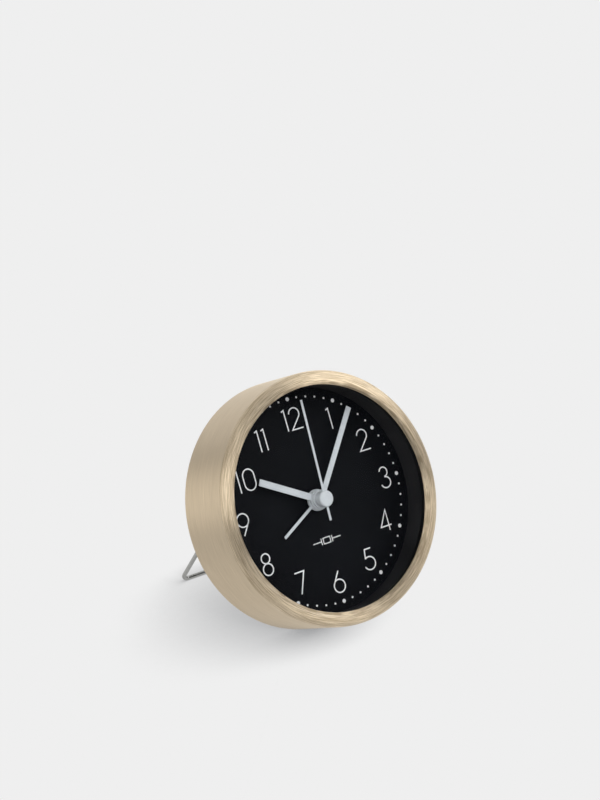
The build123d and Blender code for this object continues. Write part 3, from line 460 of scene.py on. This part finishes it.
def slab(outlines, front, back):
    """Flat polygons given as (x, z), made solid between two depths."""
    verts, faces = [], []
    for outline in outlines:
        first, count = len(verts), len(outline)
        verts += [(x, front, z) for x, z in outline] + [(x, back, z) for x, z in outline]
        faces.append([first + i for i in range(count)])
        faces.append([first + count + i for i in reversed(range(count))])
        for i in range(count):
            j = (i + 1) % count
            faces.append([first + i, first + count + i, first + count + j, first + j])
    mesh = bpy.data.meshes.new("slab")
    mesh.from_pydata(verts, [], faces)
    shell = bmesh.new()
    shell.from_mesh(mesh)
    bmesh.ops.recalc_face_normals(shell, faces=shell.faces)
    shell.to_mesh(mesh)
    shell.free()
    return mesh


def ribbon(points, width, closed=False):
    """Quads that follow a line with mitred corners; each is an outline for slab."""
    count = len(points)
    left, right = [], []
    for i, (x, z) in enumerate(points):
        before = points[i - 1] if i or closed else None
        after = points[(i + 1) % count] if i + 1 < count or closed else None
        ways = []
        if before:
            ways.append(Vector((x - before[0], z - before[1])).normalized())
        if after:
            ways.append(Vector((after[0] - x, after[1] - z)).normalized())
        sides = [Vector((-way.y, way.x)) for way in ways]
        side = sum(sides, Vector((0, 0))).normalized()
        reach = width / 2 / max(MITRE_LIMIT, side.dot(sides[0]))
        left.append((x + side.x * reach, z + side.y * reach))
        right.append((x - side.x * reach, z - side.y * reach))
    quads = []
    for i in range(count if closed else count - 1):
        j = (i + 1) % count
        quads.append([left[i], left[j], right[j], right[i]])
    return quads


def arc(x, z, radius_x, radius_z, start, end, steps=28):
    """Points of an arc; angles in degrees, anticlockwise from the right."""
    angles = [math.radians(start + (end - start) * i / steps) for i in range(steps + 1)]
    return [(x + radius_x * math.cos(a), z + radius_z * math.sin(a)) for a in angles]


def circle(x, z, radius, steps=32):
    return arc(x, z, radius, radius, 0, 360, steps)[:-1]


TOP = (NUMERAL_HEIGHT - STROKE) / 2  # half height of a numeral, between the middles of its strokes

# Each digit is a list of strokes, as (points, closed), about its own middle.
DIGITS = {
    "0": [(arc(0, 1.35, 2.3, 2.4, 0, 180) + arc(0, -1.35, 2.3, 2.4, 180, 360), True)],
    "1": [([(-0.95, TOP - 0.45), (0.1, TOP), (0.1, -TOP)], False)],
    "2": [(arc(-0.1, TOP - 2.15, 2.15, 2.15, 172, -32) + [(-2.35, -TOP), (2.4, -TOP)], False)],
    "3": [
        (arc(-0.1, TOP - 1.75, 1.75, 1.75, 165, -90), False),
        (arc(-0.1, -TOP + 2.01, 2.15, 2.01, 90, -165), False),
    ],
    "4": [([(1.25, -TOP), (1.25, TOP), (-2.35, -1.95), (2.45, -1.95)], False)],
    "5": [
        ([(1.7, TOP), (-1.0, TOP), (-1.55, 0.55)], False),
        (arc(-0.15, -1.4, 2.45, 2.36, 127, -160), False),
    ],
    "6": [(circle(0, -TOP + 2.35, 2.35), True), ([(-2.15, -TOP + 3.3), (0.9, TOP)], False)],
    "7": [([(-2.0, TOP), (2.05, TOP), (-1.2, -TOP)], False)],
    "8": [(circle(0, TOP - 1.72, 1.72), True), (circle(0, -TOP + 2.04, 2.04), True)],
    "9": [(circle(0, TOP - 2.35, 2.35), True), ([(2.15, TOP - 3.3), (-0.9, -TOP)], False)],
}
DIGIT_STEP = {"12": (-3.1, 1.1), "11": (-1.35, 1.35), "10": (-3.35, 1.15)}
NUMERALS = {
    "12": (0.0, 29.9), "1": (15.4, 26.2), "2": (26.8, 15.4), "3": (31.6, -0.1), "4": (26.4, -15.1),
    "5": (15.2, -26.3), "6": (0.0, -30.1), "7": (-14.9, -25.9), "8": (-26.5, -15.8), "9": (-31.1, -0.1),
    "10": (-25.2, 14.1), "11": (-14.7, 25.7),
}


def add_print(outlines, name):
    mesh = slab(outlines, DIAL_FRONT - PRINT_THICK, DIAL_FRONT + PRINT_SUNK)
    ride_clock(mesh, name, "clock", PRINT_WHITE)


def print_numerals():
    outlines = []
    for text, (x, z) in NUMERALS.items():
        for digit, step in zip(text, DIGIT_STEP.get(text, (0.0,))):
            for points, closed in DIGITS[digit]:
                outlines += ribbon([(x + step + px, z + pz) for px, pz in points], STROKE, closed)
    add_print(outlines, "dial_numerals")


def print_minute_track():
    dots = []
    for minute in range(MINUTES):
        turn = math.tau * minute / MINUTES
        radius = DOT_R if minute % 5 else HOUR_DOT_R
        dots.append(circle(TRACK_RADIUS * math.sin(turn), TRACK_RADIUS * math.cos(turn), radius, DOT_SIDES))
    add_print(dots, "dial_minute_track")


def print_symbol():
    """The drawing symbol of a crystal: a plate between two electrodes with their leads."""
    half_x, half_z = CRYSTAL_HALF
    low, high = SYMBOL_Z - half_z, SYMBOL_Z + half_z
    outlines = ribbon([(-half_x, low), (half_x, low), (half_x, high), (-half_x, high)], SYMBOL_STROKE, True)
    for side in (-1, 1):
        x = side * ELECTRODE_X
        outlines += ribbon([(x, SYMBOL_Z - ELECTRODE_HALF), (x, SYMBOL_Z + ELECTRODE_HALF)], SYMBOL_STROKE)
        outlines += ribbon([(x, SYMBOL_Z), (side * LEAD_END_X, SYMBOL_Z)], SYMBOL_STROKE)
    add_print(outlines, "dial_symbol")


print_numerals()
print_minute_track()
print_symbol()


# ================================================================ studio
FLOOR_HALF = 6.0  # metres
FLOOR_LIGHT = 0.8632  # what the camera sees of the plain floor
FLOOR_SHADOW = (0.05, 0.055, 0.065)  # the floor's colour in full shadow
SHADOW_SAMPLES = 24

# Each shadow is read from how open the floor is towards the side that its light comes from.
CONTACT_SIDE = (0.45, -0.35, 1.0)  # for the close shadow
CONTACT_REACH = 0.024
CONTACT_POWER = 1.2
CONTACT_FULL = 0.085  # the close shadow is full up to this openness
CONTACT_FADING = -11.0
CONTACT_STRENGTH = 0.5
CAST_SIDE = (0.42, -0.84, 0.42)  # for the shadow that falls to the left
CAST_REACH = 0.058
CAST_OPENNESS = (0.46, 0.85)  # from its full strength to none
CAST_STRENGTH = 0.47


def openness(n, side, reach):
    """How open the floor is towards one side, from 0 to 1, within a reach in metres."""
    inputs = {"Distance": reach, "Normal": n.combine(*Vector(side).normalized())}
    return n.node("AmbientOcclusion", inputs, samples=SHADOW_SAMPLES).outputs["AO"]


def floor_paper():
    """White paper, evenly lit, that darkens softly where the clock keeps the light off it."""
    n = material_nodes("floor_paper")
    share = n.math("POWER", openness(n, CONTACT_SIDE, CONTACT_REACH), CONTACT_POWER)
    beyond = n.math("MAXIMUM", n.math("SUBTRACT", share, CONTACT_FULL), 0.0)
    contact = n.math("EXPONENT", n.math("MULTIPLY", beyond, CONTACT_FADING))
    cast = n.ramp(openness(n, CAST_SIDE, CAST_REACH), *CAST_OPENNESS, CAST_STRENGTH, 0.0)
    darkness = n.math("ADD", n.math("MULTIPLY", contact, CONTACT_STRENGTH), cast)
    level = colour(FLOOR_LIGHT, FLOOR_LIGHT, FLOOR_LIGHT)
    tone = n.mix(darkness, level, colour(*FLOOR_SHADOW))
    n.show(n.node("Emission", {"Color": tone, "Strength": 1.0}))
    return n.owner


def make_floor():
    corners = [(-1, -1), (1, -1), (1, 1), (-1, 1)]
    mesh = bpy.data.meshes.new("floor")
    mesh.from_pydata([(x * FLOOR_HALF, y * FLOOR_HALF, 0) for x, y in corners], [], [(0, 1, 2, 3)])
    mesh.materials.append(floor_paper())
    floor = bpy.data.objects.new("floor", mesh)
    bpy.context.scene.collection.objects.link(floor)


# Soft boxes: direction from the clock, half width in degrees, softness in degrees, brightness
SOFT_BOXES = [
    ((0.743, -0.382, 0.549), 13, 10, 4.7),
    ((0.05, -0.78, 0.62), 9, 12, 2.4),
    ((-0.78, -0.31, 0.53), 12, 14, 3.1),
    ((0.26, 0.93, 0.28), 22, 24, 0.9),
    ((0.0, 0.1, 1.0), 20, 40, 0.35),
]
ROOM_LIGHT = (0.42, 0.46)  # below and above
ROOM_HEIGHTS = (-0.1, 0.9)  # sines of the heights between which the room's light changes


def make_world():
    """A grey room with soft boxes in it."""
    world = bpy.data.worlds.new("studio")
    bpy.context.scene.world = world
    n = Nodes(world, "OutputWorld")
    way = n.node("TexCoord").outputs["Generated"]
    height = n.vector("DOT_PRODUCT", way, Vector((0, 0, 1)))
    total = n.ramp(height, *ROOM_HEIGHTS, *ROOM_LIGHT, "SMOOTHSTEP")
    for source, half_width, softness, brightness in SOFT_BOXES:
        facing = n.vector("DOT_PRODUCT", way, Vector(source).normalized())
        outer = math.cos(math.radians(half_width + softness))
        inner = math.cos(math.radians(half_width))
        total = n.math("ADD", total, n.ramp(facing, outer, inner, 0.0, brightness, "SMOOTHSTEP"))
    n.show(n.node("Background", {"Strength": total}))


make_floor()
make_world()
bpy.context.scene.view_settings.view_transform = "Standard"
